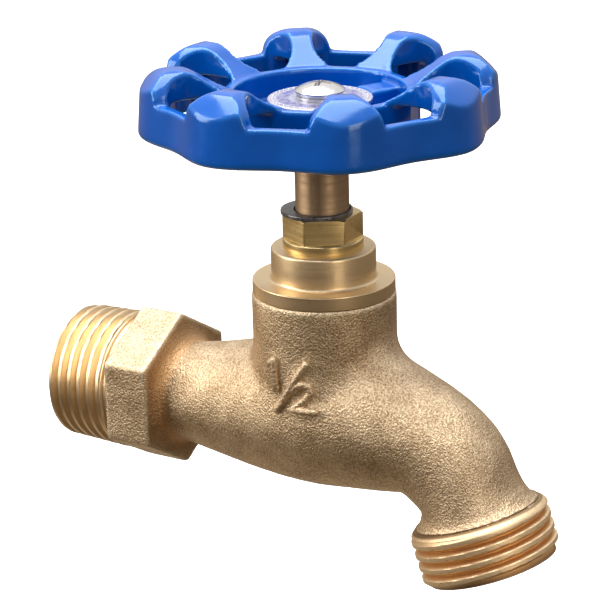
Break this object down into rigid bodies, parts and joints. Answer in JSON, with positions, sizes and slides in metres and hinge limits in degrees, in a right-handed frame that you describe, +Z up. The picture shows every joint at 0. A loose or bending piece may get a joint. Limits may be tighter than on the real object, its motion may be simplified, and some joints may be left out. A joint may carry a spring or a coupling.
{
  "type": "garden tap",
  "caption": "Screw-down brass garden tap with a threaded inlet, a bent hose-thread spout and a lobed blue handwheel.",
  "frame": {"origin": "centre of the inlet's free end, on the inlet thread's axis", "axes": "+X along the inlet into the tap and toward the spout, +Z up along the stem, +Y the third axis"},
  "size_m": [0.0814, 0.0522, 0.0751],
  "materials": {
    "cast_brass": "sand-cast and tumbled, fine grain",
    "machined_brass": "turned",
    "nut_brass": "machined, crisp edges",
    "stem_brass": "turned, slightly browned",
    "fibre_gasket": "matt fibre",
    "graphite_packing": "matt",
    "dark_washer": "blackened, semi-gloss",
    "seat_rubber": "matt",
    "zinc_steel": "bright zinc",
    "blue_enamel": "gloss enamel on cast metal",
    "plate_metal": "satin plate",
    "nickel_screw": "bright nickel"
  },
  "bodies": {
    "tap_body": {"body_casting": "cast_brass", "bonnet": "machined_brass", "bonnet_gasket": "fibre_gasket", "packing_bottom_washer": "machined_brass", "packing_ring_lower": "graphite_packing", "packing_ring_upper": "graphite_packing", "packing_follower": "machined_brass", "packing_nut": "nut_brass", "nut_washer": "dark_washer"},
    "jumper": {"disc_holder": "machined_brass", "seat_washer": "seat_rubber", "seat_washer_screw": "zinc_steel"},
    "spindle": {"stem": "stem_brass", "disc_holder_pin": "zinc_steel", "handwheel": "blue_enamel", "nameplate_disc": "plate_metal", "flat_washer": "zinc_steel", "lock_washer": "zinc_steel", "handwheel_screw": "nickel_screw"}
  },
  "joints": [
    {"name": "stem_lift", "type": "slide", "parent": "tap_body", "child": "jumper", "axis": [0, 0, 1], "range_m": [0, 0.006]},
    {"name": "handwheel_turn", "type": "hinge", "parent": "jumper", "child": "spindle", "pos_m": [0.0442, 0, 0.049], "axis": [0, 0, 1], "range_deg": [0, 720]}
  ],
  "couplings": [
    {"joint": "handwheel_turn", "follows": "stem_lift", "rad_per_m": 2094.4}
  ]
}
